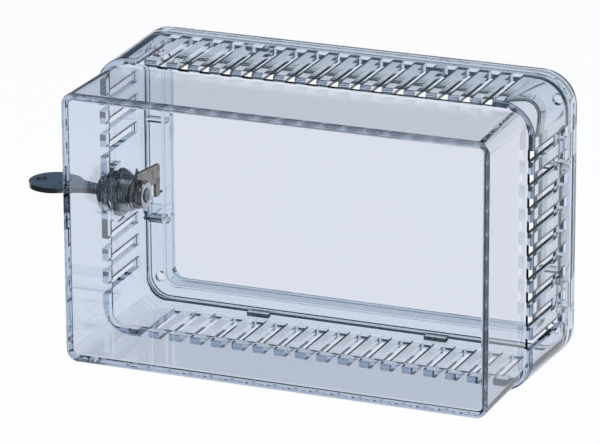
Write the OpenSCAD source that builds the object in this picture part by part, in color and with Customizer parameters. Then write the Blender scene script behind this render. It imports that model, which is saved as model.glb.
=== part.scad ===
// Clear locking guard for a small wall device.
// Millimetres. X runs to the right, Y into the wall, Z up.
// The origin is the centre of the back face, on the wall, so everything stands at y <= 0.

/* [Skirt of the cover] */
// Outside width of the vented skirt
skirt_w = 175; // [165:1:190]
// Outside height of the vented skirt
skirt_h = 111.5; // [110:0.5:125]
// Distance from the wall to the front of the shoulder
skirt_d = 43.4; // [42:0.2:48]
// Corner radius of the skirt, seen from the front
skirt_r = 13; // [10:0.5:16]
// Rounding of the shoulder's outer edge
shoulder_r = 1.25; // [0.5:0.25:2.5]
// How far each side of the skirt leans in from the wall to the shoulder
skirt_lean_x = 1.2; // [0.4:0.1:1.3]
// How far the skirt's top and bottom lean in from the wall to the shoulder
skirt_lean_z = 0.4; // [0.2:0.1:0.8]
// Thickness of the clear plastic
wall = 2.2; // [2:0.1:2.6]

/* [Nose of the cover] */
// How far the nose stands out from the shoulder
nose_d = 38; // [25:1:60]
// How far the nose steps in from the skirt's sides
nose_step_x = 3; // [2.9:0.1:4]
// How far the nose steps in from the skirt's top and bottom
nose_step_z = 3.2; // [2.9:0.1:4]
// How far each side leans in from the shoulder to the front
draft_x = 0.4; // [0.2:0.1:3]
// How far the top and bottom lean in from the shoulder to the front
draft_z = 0.2; // [0.1:0.1:2]
// Corner radius of the nose, seen from the front
nose_r = 5; // [4:0.5:8]
// Rounding of the nose's front edge
front_r = 0.75; // [0.5:0.25:2.5]

/* [Vent slots] */
// Number of slots along the top and along the bottom
slots_long = 17; // [5:1:17]
// Distance between slots along the top and bottom
slot_pitch_long = 8.5; // [7:0.1:8.8]
// Number of slots on the right, and on the left before the lock takes some
slots_side = 9; // [5:2:9]
// Distance between slots on the sides
slot_pitch_side = 9; // [7:0.1:9.1]
// Width of a slot
slot_w = 4.2; // [2:0.1:5]
// Distance from the wall to the rear end of a slot
slot_rear = 9.5; // [8:0.1:16]

/* [Base ring] */
// Thickness of the flange that lies on the wall
flange_t = 2.5; // [2:0.1:3.5]
// Thickness of the base's outer wall
base_wall = 1.6; // [1.2:0.1:2]
// Distance from the wall to the front edge of the base's outer wall on the right, where the hooks hold
base_wall_d = 12; // [11.8:0.1:14]
// Distance from the wall to the front edge of the base's outer wall elsewhere
low_wall_d = 6.5; // [5:0.1:8]
// Width of the ring at the sides
ring_side = 13.7; // [13.2:0.1:15]
// Width of the ring at the top and bottom
ring_long = 11.8; // [10:0.1:12.5]
// Thickness of the lip around the open window
lip_t = 1.5; // [1:0.1:2]
// Distance from the wall to the front of that lip
lip_d = 9; // [6:0.1:10]
// Corner radius of the window
window_r = 5; // [3:0.5:6]
// Diameter of the wall screws' holes
screw_hole_d = 4; // [3:0.1:4.5]
// Height of the screw holes above and below the middle
screw_z = 44; // [40:0.5:44.5]

/* [Hooks of the swing] */
// Height of the two hooks above and below the middle
hook_z = 29; // [27:0.5:30]
// Width of a hook
hook_w = 10; // [6:0.5:11]
// Thickness of a hook
hook_t = 1.8; // [1.2:0.1:2]
// How far a hook reaches past the inside of the skirt
hook_reach = 4.5; // [4:0.1:5]

/* [Lock] */
// Distance from the shoulder back to the lock's axis
lock_back = 9.5; // [8.5:0.25:10.5]
// Outer diameter of the barrel's thread
barrel_d = 14; // [13:0.5:15]
// Length of the barrel behind its head
barrel_len = 12.5; // [12:0.25:13.5]
// Pitch of the thread
thread_pitch = 1; // [0.75:0.25:1.25]
// Depth of the thread
thread_depth = 0.5; // [0.3:0.05:0.6]
// Diameter of the lock's head
head_d = 15.6; // [15.2:0.1:16]
// Thickness of the lock's head
head_t = 3; // [2.5:0.1:4]
// Diameter of the turning plug
plug_d = 9.6; // [9.4:0.1:10]
// Width across the flats of the lock's nut
nut_flats = 17; // [16.5:0.5:18]
// Thickness of the lock's nut
nut_t = 1.8; // [1.6:0.1:2.4]
// Thickness of the toothed washer
tooth_washer_t = 0.6; // [0.4:0.1:0.8]

/* [Cam and keeper] */
// Thickness of the cam
cam_t = 1.2; // [1:0.1:1.6]
// How far the cam reaches behind the lock's axis
cam_reach = 17.2; // [16.5:0.1:18]
// Height of the cam's upper edge above the lock's axis
cam_top = 8.8; // [8.4:0.1:9.5]
// How far the upper edge falls towards the cam's end
cam_fall = 1.8; // [0.5:0.1:2]
// Height of the cam's arm
cam_arm_h = 6.6; // [5:0.1:6.8]
// Length of the tooth below the arm
tooth_drop = 5.9; // [5:0.1:6.5]
// Width of the tooth
tooth_w = 3.4; // [2.5:0.1:3.8]
// How far the cam turns down to lock
lock_turn = 20; // [18:1:24]
// Width across the flats of the cam's nut
cam_nut_flats = 10; // [9:0.5:11]
// Thickness of the cam's nut
cam_nut_t = 1.8; // [1.6:0.1:2.2]

/* [Key] */
// Width of the key's blade
blade_w = 6.4; // [6:0.1:6.5]
// Thickness of the key
key_t = 2; // [1.6:0.1:2.2]
// Diameter of the key's bow
bow_d = 20; // [16:0.5:24]
// Length of the neck between the lock and the bow
neck_len = 8.5; // [6:0.5:12]
// Diameter of the hole in the bow
bow_hole_d = 4; // [3:0.5:6]

/* [Clearances] */
// Room between the skirt and the base's outer wall
fit_gap = 0.5; // [0.45:0.05:0.6]
// Room between faces that only rest on each other
seat_gap = 0.1; // [0.05:0.01:0.15]
// Room on the radius between the plug and its bore
run_gap = 0.05; // [0.03:0.01:0.08]
// Room around pieces that pass through holes
pass_gap = 0.1; // [0.06:0.01:0.15]
// Room around the hooks, and between the cam and the keeper
swing_gap = 0.5; // [0.4:0.05:0.6]

/* [Hidden] */
// Tumblers in the plug, each with a spring of its own
tumblers = 5;
$fn = 48;
// Sides of a circle inside a hull
hull_sides = 32;
// Sliver by which joined shapes overlap
eps = 0.01;
// How far a cut runs past what it opens
cut = 1;

// Levels of the cover along Y, measured from the wall towards the viewer
cover_rear = flange_t + seat_gap;
nose_front = skirt_d + nose_d;
shoulder_w = skirt_w - 2 * skirt_lean_x;
shoulder_h = skirt_h - 2 * skirt_lean_z;
nose_w = shoulder_w - 2 * nose_step_x;
nose_h = shoulder_h - 2 * nose_step_z;
function skirt_lean(depth) = skirt_lean_x * (depth - cover_rear) / (skirt_d - shoulder_r - cover_rear);
// The nose's hollow starts behind the shoulder, and its sides lean in from there
hollow_rear = skirt_d - wall - cut;
// Small ledge that keeps a slot's floor just outside the nose's walls
slot_ledge = 0.2;
// Steps in a rounded front edge, and the least radius of one inside the nose
round_steps = 5;
least_edge = 0.4;
function front_edge(inset) = max(front_r - inset, least_edge);
function hollow_lean(depth) = draft_x * max(depth - hollow_rear, 0)
    / (nose_front - wall - front_edge(wall) - hollow_rear);

// Base ring
base_out = wall + fit_gap;
window_w = skirt_w - 2 * ring_side;
window_h = skirt_h - 2 * ring_long;
channel_in = base_out + base_wall;
screw_x = skirt_w / 2 - (channel_in + ring_side - lip_t) / 2;
// Stretch of the right wall that stays tall for the hooks' windows
tall_wall_x = skirt_w / 2 - ring_side + lip_t;
tall_wall_z = hook_z + hook_w / 2 + 3;
// Guide tabs on the long walls, as wide as one slot's pitch
guide_x = 36;
guide_w = 8.7;
guide_rise = 2.5;
// Small ribs that stiffen the side channels
rib_z = 20;
rib_t = 1.5;
rib_rise = 3.5;

// Hooks: they turn about the skirt's right rear edge
pivot_x = skirt_w / 2;
hook_lift = 0.8;
hook_rear = cover_rear + hook_lift;
hook_front = hook_rear + hook_t;
hook_tip_x = skirt_w / 2 - wall - hook_reach;
hook_sweep = norm([pivot_x - hook_tip_x, hook_front - cover_rear]);
hook_window_d = cover_rear + sqrt(pow(hook_sweep, 2) - pow(base_out, 2)) + swing_gap;

// Stations of the lock along X, from the head on the left to the free end on the right
lock_d = skirt_d - lock_back;
lock_y = -lock_d;
// The head sits on a round pad that stays level on the leaning wall
boss_r = 11.5;
boss_sink = 0.3;
head_x = -skirt_w / 2 + skirt_lean(lock_d - boss_r);
// The boss stands clear of the leaning wall as far as the nut's corners reach
boss_x = -nose_w / 2 + wall + hollow_lean(lock_d + nut_flats / sqrt(3)) + seat_gap;
barrel_end_x = head_x + barrel_len;
plug_end_x = barrel_end_x + seat_gap;
stop_washer_t = 0.8;
cam_x = plug_end_x + stop_washer_t;
cam_washer_t = 0.4;
cam_nut_x = cam_x + cam_t + cam_washer_t;
stud_proud = 0.4;
stud_end_x = cam_nut_x + cam_nut_t + stud_proud;
nut_x = boss_x + tooth_washer_t;
// Toothed washers: width of the ring, and depth and width of the notches
washer_ring = 2;
washer_teeth = 12;
notch_depth = 0.9;
notch_w = 1.2;
cam_washer_teeth = 8;
cam_notch_depth = 0.7;
cam_notch_w = 1;
// Height of a nut's corner chamfer as a share of what its corners stand out
nut_chamfer = 0.9;

// Lock core
bore_r = plug_d / 2 + run_gap;
face_recess = 0.2;
face_x = head_x - head_t + face_recess;
face_lip = 0.6;
face_r = plug_d / 2 + face_lip;
face_t = 1.2;
dome_r = 30;
groove_depth = 0.9;
groove_ledge = 0.3;
tail_r = 3.6;
tail_flats = 5.2;
stud_r = 2.5;
keyway_floor = 1.4;
keyway_end_x = plug_end_x - keyway_floor;
blade_room = 0.5;
blade_end_x = keyway_end_x - blade_room;

// Tumblers: flat plates across the plug, each with a window for the key and an ear for its spring
wafer_t = 0.9;
wafer_h = 5;
wafer_lead = 0.4;
wafer_tail = 0.2;
wafer_pitch = (keyway_end_x - face_x - face_t - wafer_lead - wafer_tail) / tumblers;
wafer_ear_w = 0.8;
wafer_ear_y = 0.1;
wafer_slack = 0.25;
wafer_window = blade_w / 2 + wafer_slack;
function wafer_x(i) = face_x + face_t + wafer_lead + wafer_pitch * (i - 0.5);

// Springs beside the tumblers
spring_r = 0.42;
wire_r = 0.11;
spring_gap = 0.15;
spring_z = wafer_h / 2 + spring_r + wire_r + spring_gap;
spring_room_y = -2.3;
pocket_half = spring_r + wire_r + run_gap;
pocket_sink = 0.2;
ear_travel = 0.4;
spring_turns = 4.5;
spring_sides = 6;
spring_steps = 45;

// Cam, seen along X: u behind the lock's axis, v above it
cam_hub_r = 5.5;
cam_heel = 2.4;
cam_throat = 4.4;
cam_end_top = cam_top - cam_fall;
cam_arm_low = cam_end_top - cam_arm_h;
tooth_low = cam_arm_low - tooth_drop;
tooth_u = cam_reach - tooth_w;
stop_tab_r = 10;
stop_disc_r = 6;
stop_tab_w = 5.4;
stop_tab_sink = 1.2;

// Keeper: a lip that the tooth drops behind, and a short shelf, both carried by a post beside the cam
keeper_t = 1.8;
keeper_u = tooth_u * cos(lock_turn) + tooth_low * sin(lock_turn) - swing_gap / 2 - keeper_t;
keeper_top = tooth_low - 2 * swing_gap;
tooth_lowest = -cam_reach * sin(lock_turn) + tooth_low * cos(lock_turn);
shelf_top = tooth_lowest - 2 * swing_gap;
shelf_t = 2;
shelf_d = 6;
post_t = 1.6;
post_x = min(-window_w / 2, cam_x - swing_gap) - post_t;
keeper_past_cam = 4.2;
keeper_end_x = cam_x + cam_t + keeper_past_cam;

// Key
neck_w = 7;
bow_x = face_x - seat_gap - neck_len - bow_d / 2;
// Where the bow's flank starts and ends, as shares of its diameter, and how far its hole is off centre
flank_start = 0.42;
flank_end = 0.3;
flank_len = 0.45;
hole_shift = 0.28;
bite_depth = 1;
shallow_bite = 0.6;
bite_r = 1.4;

clear_tint = [0.82, 0.88, 0.94, 0.45];
chrome_tint = [0.75, 0.76, 0.78];
steel_tint = [0.55, 0.55, 0.57];
dark_tint = [0.25, 0.25, 0.28];
brass_tint = [0.8, 0.65, 0.3];

// Shared shapes

// Flat outline with round corners
module rounded_outline(w, h, r) {
    square([w - 2 * r, h], center = true);
    square([w, h - 2 * r], center = true);
    for (x = [-1, 1], z = [-1, 1])
        translate([x * (w / 2 - r), z * (h / 2 - r)])
            circle(r);
}

// Slab with round corners that faces the viewer, between two distances from the wall
module slab(rear, front, w, h, r) {
    translate([0, -rear, 0])
        rotate([90, 0, 0])
            linear_extrude(height = front - rear)
                rounded_outline(w, h, r);
}

// Stack of thin slabs whose hull is a box with a rounded front edge
module rounded_front(front, w, h, r, edge) {
    for (i = [0:round_steps]) {
        angle = 90 * i / round_steps;
        shrink = edge * (1 - sin(angle));
        depth = front - edge * (1 - cos(angle));
        slab(depth - eps, depth, w - 2 * shrink, h - 2 * shrink, r - shrink / 2);
    }
}

// Box between two corners
module block(low, high) {
    translate(low)
        cube(high - low);
}

// Frame of the lock: children are drawn along +X from station x, on the lock's axis
module on_lock(x) {
    translate([x, lock_y, 0])
        rotate([0, 90, 0])
            children();
}

// Plate across the lock's axis, drawn flat with u behind the axis and v above it
module lock_plate(x, t) {
    translate([x, lock_y, 0])
        rotate([90, 0, 90])
            linear_extrude(height = t)
                children();
}

// Hexagon nut with its outer corners chamfered, one corner up
module hex_nut(flats, t, hole_r) {
    corner_r = flats / sqrt(3);
    chamfer = (corner_r - flats / 2) * nut_chamfer;
    difference() {
        intersection() {
            cylinder(r = corner_r, h = t, $fn = 6);
            union() {
                cylinder(r = corner_r + eps, h = t - chamfer);
                translate([0, 0, t - chamfer])
                    cylinder(r1 = corner_r + eps, r2 = flats / 2, h = chamfer);
            }
        }
        translate([0, 0, -eps])
            cylinder(r = hole_r, h = t + 2 * eps);
    }
}

// Hole with two flats that keys a washer or the cam to the plug's tail
module tail_outline(gap) {
    intersection() {
        circle(tail_r + gap);
        square([tail_flats + 2 * gap, 2 * tail_r + cut], center = true);
    }
}

// Cover

// Leaning box of the nose, set in by a wall's thickness for its hollow
module nose_form(inset, rear) {
    edge = front_edge(inset);
    corner = nose_r - inset / 2;
    hull() {
        rounded_front(nose_front - inset, nose_w - 2 * (draft_x + inset), nose_h - 2 * (draft_z + inset),
            corner, edge, $fn = hull_sides);
        slab(rear, rear + eps, nose_w - 2 * inset, nose_h - 2 * inset, corner, $fn = hull_sides);
    }
}

// Outside of the skirt with its rounded shoulder
module skirt_form() {
    hull() {
        rounded_front(skirt_d, shoulder_w, shoulder_h, skirt_r, shoulder_r, $fn = hull_sides);
        slab(cover_rear, cover_rear + eps, skirt_w, skirt_h, skirt_r, $fn = hull_sides);
    }
}

// Hollow of the skirt, as far inside as the plastic is thick
module skirt_hollow() {
    hull() {
        slab(skirt_d - wall - eps, skirt_d - wall, shoulder_w - 2 * wall, shoulder_h - 2 * wall, skirt_r - wall,
            $fn = hull_sides);
        slab(cover_rear - cut, cover_rear + eps, skirt_w - 2 * wall, skirt_h - 2 * wall, skirt_r - wall,
            $fn = hull_sides);
    }
}

// Cuts of one row of slots along the top, opened through the shoulder as well
module slot_row(count, pitch, reach, ledge, skipped) {
    for (i = [0:count - 1]) {
        at = (i - (count - 1) / 2) * pitch;
        if (abs(at) >= skipped)
            block([at - slot_w / 2, -skirt_d - cut, ledge], [at + slot_w / 2, -slot_rear, reach + cut]);
    }
}

module slots() {
    for (turn = [0, 180])
        rotate([0, turn, 0])
            slot_row(slots_long, slot_pitch_long, skirt_h / 2, nose_h / 2 + slot_ledge, 0);
    rotate([0, 90, 0])
        slot_row(slots_side, slot_pitch_side, skirt_w / 2, nose_w / 2 + slot_ledge, 0);
    rotate([0, -90, 0])
        slot_row(slots_side, slot_pitch_side, skirt_w / 2, nose_w / 2 + slot_ledge, boss_r + slot_w / 2);
}

module cover() {
    color(clear_tint)
    difference() {
        union() {
            difference() {
                union() {
                    skirt_form();
                    nose_form(0, skirt_d - wall / 2);
                }
                skirt_hollow();
                nose_form(wall, hollow_rear);
                slots();
            }
            // Round boss that the lock is clamped on, cut flat just behind the shoulder
            intersection() {
                on_lock(head_x)
                    cylinder(r = boss_r, h = boss_x - head_x);
                block([-skirt_w, -skirt_d + shoulder_r + boss_sink, -skirt_h], [0, 0, skirt_h]);
            }
            // Hooks on the right that hold and guide the swing
            for (z = [-1, 1])
                block([hook_tip_x, -hook_front, z * hook_z - hook_w / 2],
                    [skirt_w / 2 - wall / 2, -hook_rear, z * hook_z + hook_w / 2]);
        }
        on_lock(head_x - cut)
            cylinder(r = barrel_d / 2 + pass_gap, h = boss_x - head_x + 2 * cut);
    }
}

// Base

module base_ring() {
    difference() {
        union() {
            slab(0, flange_t, skirt_w, skirt_h, skirt_r);
            difference() {
                slab(flange_t - eps, base_wall_d, skirt_w - 2 * base_out, skirt_h - 2 * base_out,
                    skirt_r - base_out);
                slab(flange_t - cut, base_wall_d + cut, skirt_w - 2 * channel_in, skirt_h - 2 * channel_in,
                    skirt_r - channel_in);
            }
            slab(flange_t - eps, lip_d, window_w + 2 * lip_t, window_h + 2 * lip_t, window_r + lip_t);
        }
        slab(-cut, lip_d + cut, window_w, window_h, window_r);
        // The outer wall is low except beside the hooks
        difference() {
            slab(low_wall_d, base_wall_d + cut, skirt_w, skirt_h, skirt_r);
            slab(low_wall_d - cut, base_wall_d + 2 * cut, window_w + 2 * lip_t + fit_gap, window_h + 2 * lip_t + fit_gap,
                window_r + lip_t);
            block([tall_wall_x, -base_wall_d - 2 * cut, -tall_wall_z], [skirt_w, -low_wall_d + cut, tall_wall_z]);
        }
        // Windows that the hooks turn in
        for (z = [-1, 1])
            block([skirt_w / 2 - channel_in - cut, -hook_window_d, z * hook_z - hook_w / 2 - swing_gap],
                [skirt_w / 2 - base_out + cut, -flange_t, z * hook_z + hook_w / 2 + swing_gap]);
        // Holes for the wall screws
        for (x = [-1, 1], z = [-1, 1])
            translate([x * screw_x, cut, z * screw_z])
                rotate([90, 0, 0])
                    cylinder(d = screw_hole_d, h = flange_t + 2 * cut);
    }
}

// Tabs that guide the skirt onto the long walls, and ribs across the side channels
module base_details() {
    for (x = [-1, 1], turn = [0, 180])
        rotate([0, turn, 0])
            block([x * guide_x - guide_w / 2, -low_wall_d - guide_rise, skirt_h / 2 - channel_in],
                [x * guide_x + guide_w / 2, -low_wall_d + base_wall, skirt_h / 2 - base_out]);
    for (turn = [0, 180], z = [-1, 1])
        rotate([0, turn, 0])
            block([skirt_w / 2 - ring_side + lip_t / 2, -flange_t - rib_rise, z * rib_z - rib_t / 2],
                [skirt_w / 2 - channel_in + base_wall / 2, -flange_t + eps, z * rib_z + rib_t / 2]);
}

// Post, shelf and lip behind the lock; the cam's tooth drops behind the lip
module keeper() {
    front = lock_y + keeper_u;
    block([post_x, front, shelf_top - shelf_t], [post_x + post_t, -flange_t + eps, keeper_top]);
    block([post_x, front, shelf_top - shelf_t], [keeper_end_x, front + shelf_d, shelf_top]);
    block([post_x, front, shelf_top - shelf_t], [keeper_end_x, front + keeper_t, keeper_top]);
}

module base() {
    color(clear_tint) {
        base_ring();
        base_details();
        keeper();
    }
}

// Lock

// Barrel's outline: annular ridges stand for the thread
module thread_solid(crest_r, length) {
    ridges = floor(length / thread_pitch);
    pitch = length / ridges;
    rotate_extrude()
        polygon(concat(
            [[0, 0]],
            [for (i = [0:ridges - 1], half = [0, 1])
                [crest_r - thread_depth * (1 - half), (i + half / 2) * pitch]],
            [[crest_r - thread_depth, length], [0, length]]));
}

module lock_housing() {
    color(chrome_tint)
    difference() {
        union() {
            on_lock(head_x)
                thread_solid(barrel_d / 2, barrel_len);
            intersection() {
                on_lock(head_x - head_t)
                    cylinder(d = head_d, h = head_t);
                translate([head_x - head_t + dome_r, lock_y, 0])
                    sphere(r = dome_r, $fn = 96);
            }
        }
        on_lock(head_x - head_t - cut)
            cylinder(r = bore_r, h = barrel_len + head_t + 2 * cut);
        on_lock(head_x - head_t - cut)
            cylinder(r = face_r + run_gap, h = cut + face_recess + face_t + run_gap);
        // Grooves that the tumblers drop into when the key is out
        block([face_x + face_t + groove_ledge, lock_y - bore_r - groove_depth, -wafer_h / 2 - run_gap],
            [keyway_end_x, lock_y + bore_r + groove_depth, wafer_h / 2 + run_gap]);
    }
}

// Notches around the rim of a toothed washer, the first one half a step round
module notches(count, rim_r, depth, w, t) {
    for (i = [1:count])
        rotate((i - 0.5) * 360 / count)
            translate([rim_r - depth, -w / 2, -cut])
                cube([depth + cut, w, t + 2 * cut]);
}

module lock_washer() {
    inner_r = barrel_d / 2 + pass_gap;
    color(steel_tint)
    on_lock(boss_x)
        difference() {
            cylinder(r = inner_r + washer_ring, h = tooth_washer_t);
            translate([0, 0, -cut])
                cylinder(r = inner_r, h = tooth_washer_t + 2 * cut);
            notches(washer_teeth, inner_r + washer_ring, notch_depth, notch_w, tooth_washer_t);
        }
}

module lock_nut() {
    color(chrome_tint)
    on_lock(nut_x)
        hex_nut(nut_flats, nut_t, barrel_d / 2 + pass_gap);
}

module lock_plug() {
    color(chrome_tint)
    difference() {
        union() {
            on_lock(face_x)
                cylinder(r = face_r, h = face_t);
            on_lock(face_x)
                cylinder(d = plug_d, h = plug_end_x - face_x);
            lock_plate(plug_end_x - eps, stop_washer_t + cam_t + eps)
                tail_outline(0);
            on_lock(cam_x + cam_t - eps)
                cylinder(r = stud_r, h = stud_end_x - cam_x - cam_t + eps);
        }
        block([face_x - cut, lock_y - blade_w / 2 - pass_gap, -key_t / 2 - pass_gap],
            [keyway_end_x, lock_y + blade_w / 2 + pass_gap, key_t / 2 + pass_gap]);
        for (i = [1:tumblers]) {
            block([wafer_x(i) - wafer_t / 2 - run_gap, lock_y - plug_d, -wafer_h / 2 - run_gap],
                [wafer_x(i) + wafer_t / 2 + run_gap, lock_y + plug_d, wafer_h / 2 + run_gap]);
            // Pocket for the spring and the tumbler's ear
            block([wafer_x(i) - pocket_half, lock_y + spring_room_y, wafer_h / 2 - pocket_sink],
                [wafer_x(i) + pocket_half, lock_y + wafer_ear_y + wafer_ear_w + ear_travel, plug_d]);
        }
    }
}

// One tumbler: a plate with round ends, a window for the key and an ear for the spring
module wafer(i) {
    color(brass_tint) {
        difference() {
            intersection() {
                block([wafer_x(i) - wafer_t / 2, lock_y - plug_d, -wafer_h / 2],
                    [wafer_x(i) + wafer_t / 2, lock_y + plug_d, wafer_h / 2]);
                on_lock(face_x)
                    cylinder(r = plug_d / 2 - run_gap, h = plug_end_x - face_x);
            }
            block([wafer_x(i) - wafer_t, lock_y - wafer_window, -key_t / 2 - pass_gap],
                [wafer_x(i) + wafer_t, lock_y + wafer_window, key_t / 2 + pass_gap]);
        }
        block([wafer_x(i) - wafer_t / 2, lock_y + wafer_ear_y, wafer_h / 2 - eps],
            [wafer_x(i) + wafer_t / 2, lock_y + wafer_ear_y + wafer_ear_w, spring_z + spring_r]);
    }
}

// One coil spring along Y between its pocket's end and the tumbler's ear
module spring(i) {
    length = wafer_ear_y - spring_room_y - 2 * wire_r - 2 * run_gap;
    start = [wafer_x(i), lock_y + spring_room_y + wire_r + run_gap, spring_z];
    rings = [for (k = [0:spring_steps])
        let (share = k / spring_steps, turn = 360 * spring_turns * share)
        [for (s = [0:spring_sides - 1])
            let (a = 360 * s / spring_sides, r = spring_r + wire_r * cos(a))
            start + [r * cos(turn), share * length + wire_r * sin(a), r * sin(turn)]]];
    points = [for (ring = rings) each ring];
    sides = [for (k = [0:spring_steps - 1], s = [0:spring_sides - 1])
        let (a = k * spring_sides + s, b = k * spring_sides + (s + 1) % spring_sides)
        [a, a + spring_sides, b + spring_sides, b]];
    ends = [[for (s = [0:spring_sides - 1]) s],
        [for (s = [spring_sides - 1:-1:0]) spring_steps * spring_sides + s]];
    color(steel_tint)
        polyhedron(points = points, faces = concat(sides, ends), convexity = 8);
}

module stop_washer() {
    color(steel_tint)
    difference() {
        union() {
            lock_plate(plug_end_x, stop_washer_t)
                circle(stop_disc_r);
            lock_plate(plug_end_x, stop_washer_t)
                polygon([[-stop_tab_w / 2, stop_disc_r - stop_tab_sink], [0, stop_tab_r],
                    [stop_tab_w / 2, stop_disc_r - stop_tab_sink]]);
        }
        lock_plate(plug_end_x - cut, stop_washer_t + 2 * cut)
            tail_outline(pass_gap);
    }
}

module cam() {
    color(steel_tint)
    difference() {
        union() {
            lock_plate(cam_x, cam_t)
                circle(cam_hub_r);
            lock_plate(cam_x, cam_t)
                polygon([[-cam_hub_r, 0], [-cam_heel, cam_top], [cam_reach, cam_end_top],
                    [cam_reach, tooth_low], [tooth_u, tooth_low], [tooth_u, cam_arm_low],
                    [cam_throat, cam_arm_low], [0, 0]]);
        }
        lock_plate(cam_x - cut, cam_t + 2 * cut)
            tail_outline(pass_gap);
    }
}

module cam_washer() {
    color(steel_tint)
    on_lock(cam_x + cam_t)
        difference() {
            cylinder(r = cam_nut_flats / 2, h = cam_washer_t);
            translate([0, 0, -cut])
                cylinder(r = stud_r + pass_gap, h = cam_washer_t + 2 * cut);
            notches(cam_washer_teeth, cam_nut_flats / 2, cam_notch_depth, cam_notch_w, cam_washer_t);
        }
}

module cam_nut() {
    color(chrome_tint)
    on_lock(cam_nut_x)
        hex_nut(cam_nut_flats, cam_nut_t, stud_r + pass_gap);
}

// Flat shape of the key's thickness, drawn along X with Y across it
module key_plate() {
    translate([0, lock_y, -key_t / 2])
        linear_extrude(height = key_t)
            children();
}

// Key: round bow, tapered neck and a blade with cuts along both edges
module key() {
    neck_end = face_x - seat_gap;
    bites = tumblers - 1;
    flank = [[bow_x, bow_d * flank_start], [bow_x + bow_d * flank_len, bow_d * flank_end],
        [neck_end - neck_len / 2, neck_w / 2], [neck_end, neck_w / 2], [neck_end, blade_w / 2],
        [blade_end_x - blade_w / 4, blade_w / 2]];
    other_flank = [for (i = [len(flank) - 1:-1:0]) [flank[i].x, -flank[i].y]];
    color(dark_tint)
    difference() {
        union() {
            key_plate()
                translate([bow_x, 0])
                    circle(d = bow_d);
            key_plate()
                polygon(concat(flank, [[blade_end_x, 0]], other_flank));
        }
        translate([bow_x - bow_d * hole_shift, lock_y, -key_t])
            cylinder(d = bow_hole_d, h = 2 * key_t);
        // Rounded cuts, alternately shallow and deep
        for (i = [1:bites], side = [-1, 1]) {
            bite = i % 2 == 0 ? bite_depth : shallow_bite;
            translate([wafer_x(i + 0.5), lock_y + side * (blade_w / 2 + bite_r - bite), -key_t])
                cylinder(r = bite_r, h = 2 * key_t);
        }
    }
}

cover();
base();
lock_housing();
lock_washer();
lock_nut();
lock_plug();
for (i = [1:tumblers]) {
    wafer(i);
    spring(i);
}
stop_washer();
cam();
cam_washer();
cam_nut();
key();
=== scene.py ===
# %% [markdown]
# A clear, locking guard that is screwed to a wall over a small control, with its key in the lock.
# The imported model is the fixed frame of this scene: it says where every part sits and how it
# moves. Here the parts get clean surfaces and finishes, and nothing is moved or resized.

# %% Load the frame
import math

import bpy
import numpy as np
from mathutils import Matrix, Vector


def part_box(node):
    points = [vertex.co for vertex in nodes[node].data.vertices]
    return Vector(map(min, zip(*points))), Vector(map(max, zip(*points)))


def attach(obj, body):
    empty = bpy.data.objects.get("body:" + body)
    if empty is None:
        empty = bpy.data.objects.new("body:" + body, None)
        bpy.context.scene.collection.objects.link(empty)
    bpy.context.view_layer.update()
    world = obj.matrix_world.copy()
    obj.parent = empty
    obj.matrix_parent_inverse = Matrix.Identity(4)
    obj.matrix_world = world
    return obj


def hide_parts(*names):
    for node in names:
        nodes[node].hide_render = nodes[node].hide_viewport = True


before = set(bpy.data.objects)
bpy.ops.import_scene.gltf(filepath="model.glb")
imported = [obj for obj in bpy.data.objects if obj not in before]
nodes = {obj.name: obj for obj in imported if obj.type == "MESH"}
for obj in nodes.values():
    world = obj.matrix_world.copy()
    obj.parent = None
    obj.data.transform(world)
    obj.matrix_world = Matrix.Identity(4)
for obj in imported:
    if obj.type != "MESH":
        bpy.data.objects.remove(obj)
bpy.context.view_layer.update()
scene = bpy.context.scene
MM = 0.001

# %% [markdown]
# The camera stands in front of the guard, to its right and a little above it. It is far away
# behind a long lens, which keeps the box's edges almost parallel. It could be placed by typing
# in a location and a rotation; instead it is worked out from the point it aims at, its distance
# and three angles, so that each of them can be changed by itself.

# %% Camera
AIM = Vector((-5.854, -40.0, -1.029)) * MM
DISTANCE = 1668.4 * MM
YAW, PITCH, ROLL = (math.radians(angle) for angle in (22.46, 18.705, -0.27))

look = Vector((-math.sin(YAW) * math.cos(PITCH), math.cos(YAW) * math.cos(PITCH), -math.sin(PITCH)))
level = look.cross(Vector((0, 0, 1))).normalized()
right = level * math.cos(ROLL) + level.cross(look) * math.sin(ROLL)
turned_axes = Matrix((right, right.cross(look), -look)).transposed().to_4x4()

lens = bpy.data.cameras.new("camera")
lens.lens = 271.76
lens.sensor_width = 36.0
lens.clip_start, lens.clip_end = 0.05, 50.0
camera = bpy.data.objects.new("camera", lens)
camera.matrix_world = Matrix.Translation(AIM - look * DISTANCE) @ turned_axes
scene.collection.objects.link(camera)
scene.camera = camera
scene.view_settings.view_transform = "Standard"
print("camera at", [round(value, 3) for value in camera.matrix_world.translation])


# %% [markdown]
# Materials are node trees, and a tree is easier to read as a formula. Wire wraps an output
# socket so that sums with it, such as 1 - mask, add the Math nodes by themselves. Tree adds any
# other node from its type, its settings and the values or wires of its sockets.

# %% Shader formulas
class Wire:
    """An output socket; arithmetic with it adds a Math node to its tree."""

    def __init__(self, tree, socket):
        self.tree = tree
        self.socket = socket

    def math(self, operation, first, second):
        return self.tree.node("ShaderNodeMath", {"operation": operation}, {0: first, 1: second})

    def __add__(self, other):
        return self.math("ADD", self, other)

    def __sub__(self, other):
        return self.math("SUBTRACT", self, other)

    def __rsub__(self, other):
        return self.math("SUBTRACT", other, self)

    def __mul__(self, other):
        return self.math("MULTIPLY", self, other)

    __radd__ = __add__
    __rmul__ = __mul__


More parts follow.
